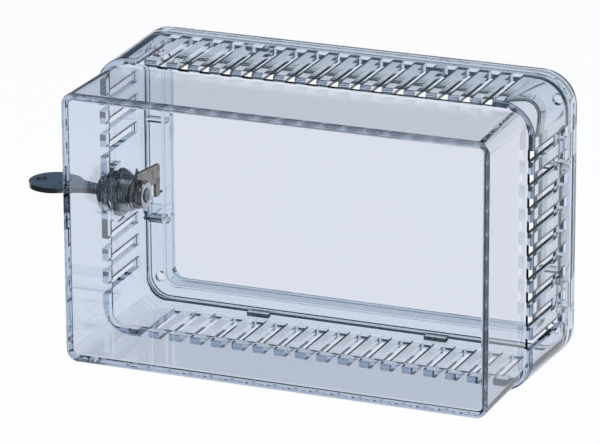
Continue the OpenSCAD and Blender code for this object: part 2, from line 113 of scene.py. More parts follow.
class Tree:
    """A node tree, emptied, to which nodes are added by type, settings and socket values."""

    def __init__(self, owner):
        owner.use_nodes = True
        self.tree = owner.node_tree
        self.tree.nodes.clear()

    def node(self, kind, settings=None, values=None, out=0):
        made = self.tree.nodes.new(kind)
        for name, value in (settings or {}).items():
            setattr(made, name, value)
        for name, value in (values or {}).items():
            if isinstance(value, Wire):
                self.tree.links.new(value.socket, made.inputs[name])
            else:
                made.inputs[name].default_value = value
        return Wire(self, made.outputs[out]) if made.outputs else None

    def ramp(self, value, low, high, start=0.0, end=1.0):
        """A smooth step from start to end while value goes from low to high."""
        return self.node("ShaderNodeMapRange", {"interpolation_type": "SMOOTHSTEP"},
                         {"Value": value, "From Min": low, "From Max": high, "To Min": start, "To Max": end})

    def mix(self, factor, first, second):
        """A colour between two colours; factor 0 gives the first and 1 the second."""
        return self.node("ShaderNodeMix", {"data_type": "RGBA"}, {0: factor, 6: first, 7: second}, out=2)

    def larger(self, first, second):
        """The larger of two values."""
        return self.node("ShaderNodeMath", {"operation": "MAXIMUM"}, {0: first, 1: second})


print("shader helpers:", Wire.__name__, Tree.__name__)

# %% [markdown]
# Clear plastic has no look of its own: it shows the room, bent. The guard is lit the way glass is
# photographed, in a dim room before a bright panel, so the world depends on what a ray has done. A
# ray from the camera sees plain white, and one that went straight through the plastic sees the
# pale backdrop. One that was thrown about inside it sees a dark room with pale walls at the left
# and in front. Metal mirrors a far side that is pale below and faintly blue above. A picture of a
# studio could light the scene too, but then none of these parts could be changed by itself.

# %% Room
BACKDROP = (0.85, 0.86, 0.93, 1)
DARK = (0.030, 0.042, 0.050, 1)
UPPER_BLUE = (0.10, 0.15, 0.22, 1)
WHITE = (1, 1, 1, 1)
DIFFUSE_LEVEL = 1.1
LEFT_WALL, FRONT_WALL, FAR_WALL = (-0.75, -0.55), (-0.45, -0.20), (0.3, 0.6)
UNDERFOOT, HORIZON = (-0.85, -0.65), (-0.1, 0.1)
ALL_BOUNCES, GLOSSY_BOUNCES = 24, 16
world = bpy.data.worlds.new("studio")
scene.world = world
room = Tree(world)
ray = room.tree.nodes.new("ShaderNodeLightPath").outputs
bent, glossy, bounces, from_camera, from_matt = (Wire(room, ray[name]) for name in (
    "Is Transmission Ray", "Is Glossy Ray", "Glossy Depth", "Is Camera Ray", "Is Diffuse Ray"))
direction = room.node("ShaderNodeTexCoord", out="Generated")
right_part, ahead_part, up_part = (
    room.node("ShaderNodeSeparateXYZ", None, {0: direction}, out=axis) for axis in "XYZ")

straight = bent * bounces.math("LESS_THAN", bounces, 0.5)
guided = bent * bounces.math("GREATER_THAN", bounces, 1.5)
mirrored = glossy * (1 - bent)
pale_walls = room.ramp(right_part, *LEFT_WALL, 1.0, 0.0) + room.ramp(ahead_part, *FRONT_WALL, 1.0, 0.0)
far_wall = room.ramp(ahead_part, *FAR_WALL) * mirrored
below = room.ramp(up_part, *HORIZON, 1.0, 0.0)
table_light = room.larger(room.ramp(up_part, *UNDERFOOT, 1.0, 0.0), far_wall * below)
lit_part = room.larger(table_light, pale_walls * guided + straight)
seen = room.mix(lit_part, room.mix(far_wall * (1 - below), DARK, UPPER_BLUE), BACKDROP)
clear_view = room.node("ShaderNodeBackground", None, {"Color": seen, "Strength": 1.0})
fill_light = room.node("ShaderNodeBackground", None, {"Color": BACKDROP, "Strength": DIFFUSE_LEVEL})
plain_white = room.node("ShaderNodeBackground", None, {"Color": WHITE, "Strength": 1.0})
unseen = room.node("ShaderNodeMixShader", None, {0: from_matt, 1: clear_view, 2: fill_light})
background = room.node("ShaderNodeMixShader", None, {0: from_camera, 1: unseen, 2: plain_white})
room.node("ShaderNodeOutputWorld", None, {"Surface": background})
scene.cycles.max_bounces = ALL_BOUNCES
scene.cycles.transmission_bounces = ALL_BOUNCES
scene.cycles.glossy_bounces = GLOSSY_BOUNCES
print("world nodes:", len(room.tree.nodes))

# %% [markdown]
# The bright panel stands close behind the guard and ends just past its right and top sides, so
# that light which the slots there send past it meets the dark room and draws them as dark bars. It
# could be an area light, but a lamp can't have a soft edge, and a glowing sheet can. The camera
# doesn't see it, and it lights nothing but what mirrors or bends.

# %% Bright panel
PANEL_Y, PANEL_RIGHT, PANEL_TOP, PANEL_FAR = 155.0, 36.0, 5.5, -250.0
PANEL_SOFT = 3.0
panel_mesh = bpy.data.meshes.new("panel")
panel_corners = [(PANEL_FAR, PANEL_FAR), (PANEL_RIGHT, PANEL_FAR),
                 (PANEL_RIGHT, PANEL_TOP), (PANEL_FAR, PANEL_TOP)]
panel_mesh.from_pydata([(x * MM, PANEL_Y * MM, z * MM) for x, z in panel_corners], [], [(0, 1, 2, 3)])
panel = bpy.data.objects.new("panel", panel_mesh)
scene.collection.objects.link(panel)
panel.visible_camera = False
panel.visible_diffuse = False
panel.visible_shadow = False
panel_glow = bpy.data.materials.new("panel_glow")
glow = Tree(panel_glow)
panel_place = glow.node("ShaderNodeTexCoord", out="Object")
panel_x, panel_z = (glow.node("ShaderNodeSeparateXYZ", None, {0: panel_place}, out=axis) for axis in "XZ")
edge_x = glow.ramp(panel_x, (PANEL_RIGHT - PANEL_SOFT) * MM, PANEL_RIGHT * MM, 1.0, 0.0)
edge_z = glow.ramp(panel_z, (PANEL_TOP - PANEL_SOFT) * MM, PANEL_TOP * MM, 1.0, 0.0)
light = glow.node("ShaderNodeEmission", None, {
    "Color": glow.mix(edge_x * edge_z, DARK, BACKDROP), "Strength": 1.0})
glow.node("ShaderNodeOutputMaterial", None, {"Surface": light})
panel_mesh.materials.append(panel_glow)
print("panel", PANEL_RIGHT - PANEL_FAR, "x", PANEL_TOP - PANEL_FAR, "mm")

# %% [markdown]
# A soft box hangs over the guard and gives the plated lock its highlight. The floor is a plain
# white table top well below the guard, because the guard belongs on a wall and nothing touches it.
# To the camera most of the floor's white is its own glow, and the rest is matt paint that keeps a
# soft shadow. Mirrored and bent rays pass the floor by and see the room's pale underside instead.

# %% Soft box and floor
BOX_SIZE, BOX_Y, BOX_HEIGHT, BOX_RADIANCE = 0.6, -0.03, 1.0, 1.8
lamp = bpy.data.lights.new("soft_box", "AREA")
lamp.size = BOX_SIZE
lamp.energy = BOX_RADIANCE * math.pi * BOX_SIZE ** 2
soft_box = bpy.data.objects.new("soft_box", lamp)
soft_box.location = (0, BOX_Y, BOX_HEIGHT)
soft_box.visible_camera = False
scene.collection.objects.link(soft_box)

FLOOR_Z, FLOOR_FRONT, FLOOR_BACK, FLOOR_SIDE = -0.26, -0.27, 3.0, 2.0
FLOOR_GLOW, FLOOR_GREY = 0.8, (0.9, 0.9, 0.9, 1)
floor_corners = [(-FLOOR_SIDE, FLOOR_FRONT), (FLOOR_SIDE, FLOOR_FRONT),
                 (FLOOR_SIDE, FLOOR_BACK), (-FLOOR_SIDE, FLOOR_BACK)]
table = bpy.data.meshes.new("floor")
table.from_pydata([(x, y, FLOOR_Z) for x, y in floor_corners], [], [(0, 1, 2, 3)])
floor = bpy.data.objects.new("floor", table)
scene.collection.objects.link(floor)
floor.visible_glossy = False
floor.visible_transmission = False

floor_paint = bpy.data.materials.new("floor_white")
paint = Tree(floor_paint)
floor_ray = paint.tree.nodes.new("ShaderNodeLightPath").outputs
by_camera, by_mirror, by_glass = (Wire(paint, floor_ray[name]) for name in (
    "Is Camera Ray", "Is Glossy Ray", "Is Transmission Ray"))
matt = paint.node("ShaderNodeBsdfDiffuse", None, {"Color": FLOOR_GREY})
white = paint.node("ShaderNodeEmission", None, {"Color": WHITE, "Strength": 1.0})
tint = paint.node("ShaderNodeEmission", None, {"Color": BACKDROP, "Strength": 1.0})
lit = paint.node("ShaderNodeMixShader", None, {0: FLOOR_GLOW * by_camera, 1: matt, 2: white})
mixed = paint.node("ShaderNodeMixShader", None, {0: paint.larger(by_mirror, by_glass), 1: lit, 2: tint})
paint.node("ShaderNodeOutputMaterial", None, {"Surface": mixed})
table.materials.append(floor_paint)
print("floor at", FLOOR_Z, "m")


# %% [markdown]
# Every piece below is worked out as whole numpy arrays: a grid of points, the four-sided faces
# between neighbours on it, and a few larger faces that close it. These helpers turn such arrays
# into a mesh object, join or cut simple solids, and soften the edges as a mould or a tumbler
# does. Sharp edges are found by angle, and flat faces keep flat shading beside round ones.

# %% Mesh helpers
def grid_faces(index, closed_rows=False):
    """Four-sided faces of a grid of point numbers that is closed along its columns.

    Each face runs from a row to the next row and from a column to the next column.
    """
    if closed_rows:
        index = np.vstack([index, index[:1]])
    near, far = index[:-1], index[1:]
    return np.stack([near, np.roll(near, -1, 1), np.roll(far, -1, 1), far], -1)


def box_mm(node):
    """A node's lowest and highest corner at rest, in millimetres."""
    return tuple(np.array(corner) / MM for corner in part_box(node))


def as_object(name, points, faces):
    """A smooth mesh object from points in millimetres and a list of faces."""
    mesh = bpy.data.meshes.new(name)
    mesh.from_pydata((np.asarray(points, float).reshape(-1, 3) * MM).tolist(), [], faces)
    mesh.polygons.foreach_set("use_smooth", np.ones(len(mesh.polygons), bool))
    mesh.update()
    made = bpy.data.objects.new(name, mesh)
    scene.collection.objects.link(made)
    return made


def joined(target, operation, tools):
    """Adds (UNION) or takes away (DIFFERENCE) closed solids, keeps the result as the mesh."""
    for tool in tools:
        step = target.modifiers.new(operation.lower(), "BOOLEAN")
        step.operation, step.solver, step.object = operation, "EXACT", tool
        graph = bpy.context.evaluated_depsgraph_get()
        result = bpy.data.meshes.new_from_object(target.evaluated_get(graph))
        target.modifiers.clear()
        target.data = result
        bpy.data.objects.remove(tool)
    return target


def softened(target, width, segments=2, angle=40.0):
    """Marks sharp edges by angle, rounds them by width in millimetres and evens the shading."""
    target.data.set_sharp_from_angle(angle=math.radians(angle))
    edge = target.modifiers.new("edge", "BEVEL")
    edge.width, edge.segments, edge.limit_method = width * MM, segments, "ANGLE"
    edge.angle_limit = math.radians(angle)
    edge.use_clamp_overlap = True
    even = target.modifiers.new("even", "WEIGHTED_NORMAL")
    even.keep_sharp = False
    return target


def volume(target):
    """Volume in cubic millimetres: the sum of the signed corner pyramids of all triangles."""
    mesh = target.data
    mesh.calc_loop_triangles()
    points = np.empty(len(mesh.vertices) * 3)
    mesh.vertices.foreach_get("co", points)
    corners = np.empty(len(mesh.loop_triangles) * 3, int)
    mesh.loop_triangles.foreach_get("vertices", corners)
    a, b, c = np.moveaxis(points.reshape(-1, 3)[corners.reshape(-1, 3)], 1, 0) / MM
    return float(np.einsum("ij,ij->i", a, np.cross(b, c)).sum() / 6)


print("mesh helpers ready")

# %% [markdown]
# The cover is one moulding: a skirt with vent slots, a shoulder, and a box-shaped nose that leans
# in a little towards its front so that it leaves the mould. It could be a box with modifiers, but
# then the slots would run across its round corners. Here it is a stack of rounded rectangles,
# outside and inside, whose straight sides have points exactly at the slots' edges. Leaving out
# the faces between those points opens the slots, and small walls close the plastic around them. At
# the top and the right the shoulder keeps a narrow step, the foot, before the slots begin.

# %% Cover: sizes
cover_low, cover_high = box_mm("cover")
SKIRT_W, FRONT, REAR = cover_high[0] - cover_low[0], cover_low[1], cover_high[1]
SKIRT_H = cover_high[2] - cover_low[2]
WALL, NOSE_WALL_X, NOSE_WALL_Z, SKIRT_WALL = 2.5, 2.1, 2.5, 2.8
SKIRT_R, NOSE_R = 13.0, 4.8
SHOULDER, SHOULDER_R = -43.4, 1.25
LEAN_X, LEAN_Z = 1.2, 0.4
STEP_X, STEP_Z = 3.0, 3.2
DRAFT_X, DRAFT_Z = 0.4, 0.2
FRONT_R, INNER_R, THROAT_R = 1.5, 0.8, 0.6
SLOT_W, SLOT_REAR = 4.2, -9.5
NECK_R, THROAT_CORNER_R, CORNER_ROOM = 6.2, 4.0, 0.5
FOOT_SHARE, LEDGE_SHARE, INNER_SHARE = 0.82, 0.03, 0.86
LONG_SLOTS, LONG_PITCH = 17, 8.5
SIDE_SLOTS, SIDE_PITCH = 9, 9.0
LEFT_SKIPPED = (3, 4, 5)
CORNER_STEPS, ROUND_STEPS = 14, 5
SHOULDER_W, SHOULDER_H = SKIRT_W - 2 * LEAN_X, SKIRT_H - 2 * LEAN_Z
NOSE_W, NOSE_H = SHOULDER_W - 2 * STEP_X, SHOULDER_H - 2 * STEP_Z


def slot_edges(count, pitch):
    """Edges of a centred row of slots: each slot's middle, minus and plus half its width."""
    middles = (np.arange(count) - (count - 1) / 2) * pitch
    return (middles[:, None] + np.array([-SLOT_W / 2, SLOT_W / 2])).ravel()


SLOT_X, SLOT_Z = slot_edges(LONG_SLOTS, LONG_PITCH), slot_edges(SIDE_SLOTS, SIDE_PITCH)
print("cover", round(SKIRT_W, 2), "x", round(SKIRT_H, 2), "front at", round(FRONT, 2))


# %% Cover: loops
def rounded_loop(width, height, radius, y):
    """Points round a rectangle with round corners, at depth y, the same count for every size.

    A straight side has its points at the slots' edges, drawn closer where the side is shorter. A
    corner is its centre plus the radius times (sin a, -cos a), with a from 0 to a quarter turn,
    turned on for each next corner.
    """
    turn = np.linspace(0, math.pi / 2, CORNER_STEPS + 1)
    across, down = radius * np.sin(turn), radius * np.cos(turn)
    half_x, half_z = width / 2, height / 2
    mid_x, mid_z = half_x - radius, half_z - radius
    side_x = SLOT_X * min(1, (mid_x - CORNER_ROOM) / SLOT_X.max())
    x = np.concatenate([side_x, mid_x + across, np.full(SLOT_Z.size, half_x), mid_x + down,
                        side_x[::-1], -mid_x - across, np.full(SLOT_Z.size, -half_x), -mid_x - down])
    z = np.concatenate([np.full(SLOT_X.size, -half_z), -mid_z - down, SLOT_Z, mid_z + across,
                        np.full(SLOT_X.size, half_z), mid_z + down, SLOT_Z[::-1], -mid_z - across])
    return np.stack([x, np.full(x.size, y), z], -1)


def rounding(width, height, radius, start, edge):
    """Loops that turn from a side to a face: each is smaller by edge (1 - cos a) all round."""
    turn = np.linspace(0, math.pi / 2, ROUND_STEPS + 1)
    inset, deeper = edge * (1 - np.cos(turn)), edge * np.sin(turn)
    return [rounded_loop(width - 2 * i, height - 2 * i, radius - i, start - d)
            for i, d in zip(inset, deeper)]


def skirt_loop(y, inset=0.0):
    """The skirt's outline at depth y, moved in by inset: it leans in evenly towards the shoulder."""
    share = (REAR - y) / (REAR - SHOULDER - SHOULDER_R)
    return rounded_loop(SKIRT_W - 2 * (LEAN_X * share + inset), SKIRT_H - 2 * (LEAN_Z * share + inset),
                        SKIRT_R - inset, y)


print("points in a loop:", len(skirt_loop(REAR)))

# %% Cover: outside and inside
front_w, front_h = NOSE_W - 2 * DRAFT_X, NOSE_H - 2 * DRAFT_Z
shoulder = rounding(SHOULDER_W, SHOULDER_H, SKIRT_R, SHOULDER + SHOULDER_R, SHOULDER_R)
neck = rounded_loop(NOSE_W, NOSE_H, NECK_R, SHOULDER)
fade = np.linspace(0, 1, CORNER_STEPS + 1)
top_or_right = np.concatenate([
    np.zeros(SLOT_X.size), fade, np.ones(SLOT_Z.size + fade.size + SLOT_X.size), fade[::-1],
    np.zeros(SLOT_Z.size + fade.size)])
foot_share = LEDGE_SHARE + (FOOT_SHARE - LEDGE_SHARE) * top_or_right[:, None]
foot = neck + foot_share * (shoulder[-1] - neck)
outer = np.array([skirt_loop(REAR), skirt_loop(SLOT_REAR)] + shoulder + [foot, neck]
                 + rounding(front_w, front_h, NOSE_R, FRONT + FRONT_R, FRONT_R))
in_w, in_h = NOSE_W - 2 * NOSE_WALL_X, NOSE_H - 2 * NOSE_WALL_Z
in_r, under = NOSE_R - WALL, SHOULDER + WALL
quarter_turn = np.linspace(0, math.pi / 2, ROUND_STEPS + 1)
skirt_in = [skirt_loop(y, SKIRT_WALL) for y in (REAR, SLOT_REAR, under)]
throat_grow, throat_depth = THROAT_R * (1 - np.sin(quarter_turn)), THROAT_R * (1 - np.cos(quarter_turn))
throat = [rounded_loop(in_w + 2 * grow, in_h + 2 * grow, THROAT_CORNER_R + grow, under - deeper)
          for grow, deeper in zip(throat_grow, throat_depth)]
ledge = throat[0] + INNER_SHARE * (skirt_in[-1] - throat[0])
front_in = rounding(front_w - 2 * NOSE_WALL_X, front_h - 2 * NOSE_WALL_Z, in_r,
                    FRONT + WALL + INNER_R, INNER_R)
inner = np.array(skirt_in + [ledge] + throat + front_in)
print("cover loops:", len(outer), "outside,", len(inner), "inside, of", outer.shape[1], "points")

# %% Cover: faces
OUTER_LEDGE, INNER_LEDGE = 3 + ROUND_STEPS, 3
out_index = np.arange(outer.shape[0] * outer.shape[1]).reshape(outer.shape[:2])
in_index = out_index.size + np.arange(inner.shape[0] * inner.shape[1]).reshape(inner.shape[:2])
side_starts = np.cumsum([0, SLOT_X.size, SLOT_Z.size, SLOT_X.size]) + np.arange(4) * (CORNER_STEPS + 1)
side_counts = (LONG_SLOTS, SIDE_SLOTS, LONG_SLOTS, SIDE_SLOTS)
first = np.concatenate([start + 2 * np.arange(count) for start, count in zip(side_starts, side_counts)])
first = np.setdiff1d(first, side_starts[3] + 2 * np.array(LEFT_SKIPPED))
last = first + 1

out_faces, in_faces = grid_faces(out_index), grid_faces(in_index)[..., ::-1]
keep_out, keep_in = np.ones(out_faces.shape[:2], bool), np.ones(in_faces.shape[:2], bool)
keep_out[1:OUTER_LEDGE, first] = False
keep_in[1:INNER_LEDGE, first] = False
rim = np.stack([np.roll(out_index[0], -1), out_index[0], in_index[0], np.roll(in_index[0], -1)], -1)

edge_out, edge_in = out_index[1:OUTER_LEDGE + 1], in_index[1:INNER_LEDGE + 1]
cheek = np.vstack([edge_in, edge_out[::-1]])
slot_ends = np.concatenate([
    np.stack([edge_out[0, first], edge_out[0, last], edge_in[0, last], edge_in[0, first]], -1),
    np.stack([edge_out[-1, first], edge_in[-1, first], edge_in[-1, last], edge_out[-1, last]], -1)])
faces = (out_faces[keep_out].tolist() + in_faces[keep_in].tolist() + rim.tolist() + slot_ends.tolist()
         + cheek[:, first].T.tolist() + cheek[::-1, last].T.tolist()
         + [out_index[-1].tolist(), in_index[-1][::-1].tolist()])
cover = as_object("clear_cover", np.concatenate([outer.reshape(-1, 3), inner.reshape(-1, 3)]), faces)
print("slots:", first.size, "faces:", len(faces), "volume", round(volume(cover)), "mm3")


# %% [markdown]
# On the left a thick round boss carries the lock, and on the right two small hooks reach under
# the base and act as the hinge. They are simple solids that grow out of the wall, so each is made
# closed and joined to it, and the lock's hole is then cut through the boss. Solids that are joined
# or cut reach a little past each other, so that no two faces lie in one plane.

# %% Turned and block solids
TURN_STEPS, OVERLAP = 96, 1.0
lock_low, lock_high = box_mm("lock_housing")
HEAD_X, BARREL_END = lock_low[0], lock_high[0]
LOCK_Y, LOCK_Z = (lock_low[1:] + lock_high[1:]) / 2


def turned(name, stations, radii):
    """A solid turned about the lock's axis: at each station x, a circle (or outline) of radius r.

    y = axis - r cos a and z = axis + r sin a. The stations run round a closed section, outside
    with x growing and back along the bore; radii may also change with the angle a.
    """
    angle = np.arange(TURN_STEPS) * 2 * math.pi / TURN_STEPS
    stations = np.asarray(stations, float)[:, None]
    radii = np.asarray(radii, float)
    radii = (radii[:, None] if radii.ndim == 1 else radii) * np.ones(TURN_STEPS)
    points = np.stack([stations * np.ones(TURN_STEPS), LOCK_Y - radii * np.cos(angle),
                       LOCK_Z + radii * np.sin(angle)], -1)
    index = np.arange(points[..., 0].size).reshape(points.shape[:2])
    return as_object(name, points, grid_faces(index, closed_rows=True)[..., ::-1].reshape(-1, 4).tolist())


def peg(name, axis, centre, radius, start, end, steps=48):
    """A closed cylinder along one axis: a circle of points at two stations and a flat face at each.

    The circle lies in the two other axes, taken in the order x, y, z, x, y, so its faces point out.
    """
    turn = np.arange(steps) * 2 * math.pi / steps
    points = np.zeros((2, steps, 3))
    points[..., axis] = np.array([[start], [end]])
    points[..., (axis + 1) % 3] = centre[0] + radius * np.cos(turn)
    points[..., (axis + 2) % 3] = centre[1] + radius * np.sin(turn)
    index = np.arange(2 * steps).reshape(2, -1)
    return as_object(name, points, grid_faces(index).reshape(-1, 4).tolist()
                     + [index[0][::-1].tolist(), index[1].tolist()])


def block(name, corner, opposite):
    """A closed box between two corners: every mix of the two corners' x, y and z."""
    ends = np.array([corner, opposite], float)
    pick = np.array([[0, 0, 0], [1, 0, 0], [1, 1, 0], [0, 1, 0], [0, 0, 1], [1, 0, 1], [1, 1, 1], [0, 1, 1]])
    sides = [(0, 3, 2, 1), (4, 5, 6, 7), (0, 1, 5, 4), (1, 2, 6, 5), (2, 3, 7, 6), (3, 0, 4, 7)]
    return as_object(name, ends[pick, np.arange(3)], sides)


probe = peg("probe", 0, (LOCK_Y, LOCK_Z), 5, 0, 10)
print("peg volume", round(volume(probe), 1), "mm3")
bpy.data.objects.remove(probe)

# %% Boss and hooks
HEAD_T = 3.0
BOSS_X, BOSS_FRONT = box_mm("lock_washer")[0][0], SHOULDER + 1.55
BOSS_R, LOCK_HOLE_R, MOULD_EDGE = 11.5, 7.1, 0.3
OUTSIDE_X = -100
FRONT_CUT = (OUTSIDE_X, -70, -50), (-60, BOSS_FRONT, 50)
HOOK_Z, HOOK_W, HOOK_T, HOOK_REAR, HOOK_TIP = 29.0, 10.0, 1.8, -3.4, 80.8
axis_at = (LOCK_Y, LOCK_Z)
boss = peg("boss", 0, axis_at, BOSS_R, HEAD_X + HEAD_T, BOSS_X, TURN_STEPS)
joined(boss, "DIFFERENCE", [block("front_cut", *FRONT_CUT)])
hooks = [block("hook", (HOOK_TIP, HOOK_REAR - HOOK_T, z - HOOK_W / 2),
               (SKIRT_W / 2 - SKIRT_WALL / 2, HOOK_REAR, z + HOOK_W / 2)) for z in (-HOOK_Z, HOOK_Z)]
joined(cover, "UNION", [boss] + hooks)
lock_hole = peg("hole", 0, axis_at, LOCK_HOLE_R, OUTSIDE_X, BOSS_X + 5 * OVERLAP, TURN_STEPS)
joined(cover, "DIFFERENCE", [lock_hole])
softened(cover, MOULD_EDGE, 3)
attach(cover, "cover")
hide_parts("cover")
print("cover volume", round(volume(cover)), "mm3")

# %% [markdown]
# The base is a clear ring that stays on the wall. Its section is a flat flange, a wall that the
# cover slips over, and a low lip round the window that the control looks through. That section is
# carried round the same rounded rectangle. A curve with a bevel object could do that too, but the
# lip and the outer edge have different corners, so here every line of the section has its own loop.

# %% Base ring
FLANGE_T, FLANGE_R, BASE_OUT, BASE_WALL, BASE_D = 2.5, 1.0, 3.3, 1.6, 6.5
RING_SIDE, RING_LONG, LIP_T, LIP_D, WINDOW_R = 13.7, 11.8, 1.5, 9.0, 5.0
window_w, window_h = SKIRT_W - 2 * RING_SIDE, SKIRT_H - 2 * RING_LONG


def inset_loop(inset, y):
    """The skirt's outline moved in by inset."""
    return rounded_loop(SKIRT_W - 2 * inset, SKIRT_H - 2 * inset, SKIRT_R - inset, y)


def window_loop(outset, y):
    """The window's outline moved out by outset."""
    return rounded_loop(window_w + 2 * outset, window_h + 2 * outset, WINDOW_R + outset, y)


LIP_STEPS = 8
half_turn = np.linspace(0, math.pi, LIP_STEPS + 1)
across, along = (1 - np.cos(half_turn)) / 2, (1 - np.sin(half_turn)) / 2
section = np.array(
    [inset_loop(0, 0)]
    + [inset_loop(FLANGE_R * (1 - math.cos(a)), FLANGE_R * (1 - math.sin(a)) - FLANGE_T)
       for a in quarter_turn]
    + [inset_loop(BASE_OUT, -FLANGE_T)]
    + [inset_loop(BASE_OUT + BASE_WALL * a, -BASE_D + BASE_WALL * b) for a, b in zip(across, along)]
    + [inset_loop(BASE_OUT + BASE_WALL, -FLANGE_T), window_loop(LIP_T, -FLANGE_T)]
    + [window_loop(LIP_T * (1 - a), -LIP_D + LIP_T * b) for a, b in zip(across, along)]
    + [window_loop(0, 0)])
index = np.arange(section[..., 0].size).reshape(section.shape[:2])
base = as_object("clear_base", section, grid_faces(index, closed_rows=True).reshape(-1, 4).tolist())
print("base ring volume", round(volume(base)), "mm3")

# %% [markdown]
# Small blocks grow out of the ring: guides for the cover's long sides, ribs across the channel, the
# keeper that the cam's tooth drops behind, and a taller wall at the right with a window for each
# hook. They are closed boxes joined to the ring, and the holes are closed pegs taken away from it.

# %% Guides, ribs, keeper, screw holes
GUIDE_X, GUIDE_W, GUIDE_RISE = 36.0, 8.7, 2.5
RIB_Z, RIB_T, RIB_RISE = 20.0, 1.5, 3.5
TALL_D, TALL_Z = 12.0, 37.0
SCREW_X, SCREW_Z, SCREW_R = 79.25, 44.0, 2.0
POST_X, POST_T, KEEPER_END, KEEPER_T = -75.6, 1.2, -68.1, 1.2
KEEPER_FRONT, KEEPER_TOP, SHELF_TOP, SHELF_T, SHELF_D = LOCK_Y + 9.037, -6.5, -12.051, 1.2, 6.0
HOOK_ROOM, HOOK_WINDOW_D, BASE_EDGE = 0.5, 9.76, 0.45
wall_in, wall_out = SKIRT_H / 2 - BASE_OUT - BASE_WALL, SKIRT_H / 2 - BASE_OUT
side_in, side_out = SKIRT_W / 2 - BASE_OUT - BASE_WALL, SKIRT_W / 2 - BASE_OUT
pairs = [(x, z) for x in (-1, 1) for z in (-1, 1)]

guides = [block("guide", (x * GUIDE_X - GUIDE_W / 2, -BASE_D - GUIDE_RISE, min(z * wall_in, z * wall_out)),
                (x * GUIDE_X + GUIDE_W / 2, -BASE_D + OVERLAP, max(z * wall_in, z * wall_out)))
          for x, z in pairs]
rib_in, rib_out = window_w / 2 + LIP_T / 2, side_in + BASE_WALL / 2
ribs = [block("rib", (min(x * rib_in, x * rib_out), -FLANGE_T - RIB_RISE, z * RIB_Z - RIB_T / 2),
              (max(x * rib_in, x * rib_out), -FLANGE_T + OVERLAP, z * RIB_Z + RIB_T / 2)) for x, z in pairs]
keeper_corner = (POST_X, KEEPER_FRONT, SHELF_TOP - SHELF_T)
keeper = [block("post", keeper_corner, (POST_X + POST_T, -FLANGE_T + OVERLAP, KEEPER_TOP)),
          block("shelf", keeper_corner, (KEEPER_END, KEEPER_FRONT + SHELF_D, SHELF_TOP)),
          block("lip", keeper_corner, (KEEPER_END, KEEPER_FRONT + KEEPER_T, KEEPER_TOP))]
tall_wall = block("tall_wall", (side_in, -TALL_D, -TALL_Z), (side_out, -BASE_D + OVERLAP, TALL_Z))
joined(base, "UNION", guides + ribs + keeper + [tall_wall])

holes = [peg("screw_hole", 1, (z * SCREW_Z, x * SCREW_X), SCREW_R, -FLANGE_T - OVERLAP, OVERLAP)
         for x, z in pairs]
windows = [block("hook_window", (side_in - OVERLAP, -HOOK_WINDOW_D, z - HOOK_W / 2 - HOOK_ROOM),
                 (side_out + OVERLAP, -FLANGE_T, z + HOOK_W / 2 + HOOK_ROOM)) for z in (-HOOK_Z, HOOK_Z)]
joined(base, "DIFFERENCE", holes + windows)
softened(base, BASE_EDGE, 3)
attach(base, "base")
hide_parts("base")
print("base volume", round(volume(base)), "mm3")

# %% [markdown]
# The lock's body is a turned and plated barrel with a domed head and a fine thread. A thread is a
# radius that falls and rises once along every pitch and slips by one pitch in a turn, so it is a
# single formula in the angle and the station, sampled finely enough to show its ridges.

# %% Lock body
HEAD_R, DOME_R, RIM_R, RIM_STEPS = 7.8, 30.0, 0.5, 5
BARREL_R, THREAD_PITCH, THREAD_DEPTH = 7.0, 1.0, 0.5
THREAD_GAP, THREAD_STEPS, CREST, THREAD_SHARP = 0.3, 90, 1.3, 50
BORE_R, FACE_R, FACE_DEPTH = 4.85, 5.45, 1.45
angle = np.arange(TURN_STEPS) * 2 * math.pi / TURN_STEPS


def dome(radius):
    """Station of the domed head at a radius: a ball of radius DOME_R that touches the front."""
    return HEAD_X + DOME_R - np.sqrt(DOME_R ** 2 - np.asarray(radius) ** 2)


face_radii = np.linspace(FACE_R, HEAD_R - RIM_R, RIM_STEPS)
rim_turn = np.linspace(0, math.pi / 2, RIM_STEPS)[1:]
rim_x = dome(HEAD_R - RIM_R) + RIM_R * (1 - np.cos(rim_turn))
rim_r = HEAD_R - RIM_R + RIM_R * np.sin(rim_turn)
thread_x = np.linspace(HEAD_X + HEAD_T + THREAD_GAP, BARREL_END - THREAD_GAP, THREAD_STEPS)
turns = thread_x[:, None] / THREAD_PITCH + angle / (2 * math.pi)
ridge = np.abs(2 * (turns % 1) - 1)
from_ends = np.minimum(thread_x - thread_x[0], thread_x[-1] - thread_x) / THREAD_PITCH
height = THREAD_DEPTH * np.clip(CREST * ridge, 0, 1) * np.clip(from_ends, 0, 1)[:, None]
root_r = BARREL_R - THREAD_DEPTH
stations = np.concatenate([dome(face_radii), rim_x, [HEAD_X + HEAD_T] * 2, thread_x, [BARREL_END] * 2,
                           [HEAD_X + FACE_DEPTH] * 2])
before = np.concatenate([face_radii, rim_r, [HEAD_R, root_r]])
after = np.array([root_r - THREAD_GAP, BORE_R, BORE_R, FACE_R])
all_round = np.ones(TURN_STEPS)
radii = np.vstack([before[:, None] * all_round, root_r + height, after[:, None] * all_round])
housing = turned("lock_body", stations, radii)
housing.data.set_sharp_from_angle(angle=math.radians(THREAD_SHARP))
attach(housing, "cover")
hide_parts("lock_housing")
print("lock body volume", round(volume(housing)), "mm3")


# %% [markdown]
# Two six-sided nuts hold the lock: a large one clamps the barrel in the boss, and a small one
# holds the cam. A nut is a six-sided outline whose corners are turned off by a cone at both
# faces, so its radius is the smaller of the two, at every angle and station.

# %% Nuts
CHAMFER = np.array([0, 0.12, 0.3, 0.5, 0.75, 1.0])
CONE_START, CONE_RISE, LEAD_IN, NUT_SHARP = 0.95, 1.75, 0.35, 28
LARGE_FLATS, SMALL_FLATS, SMALL_BORE, NUT_ROOM = 17.0, 10.0, 2.6, 0.08


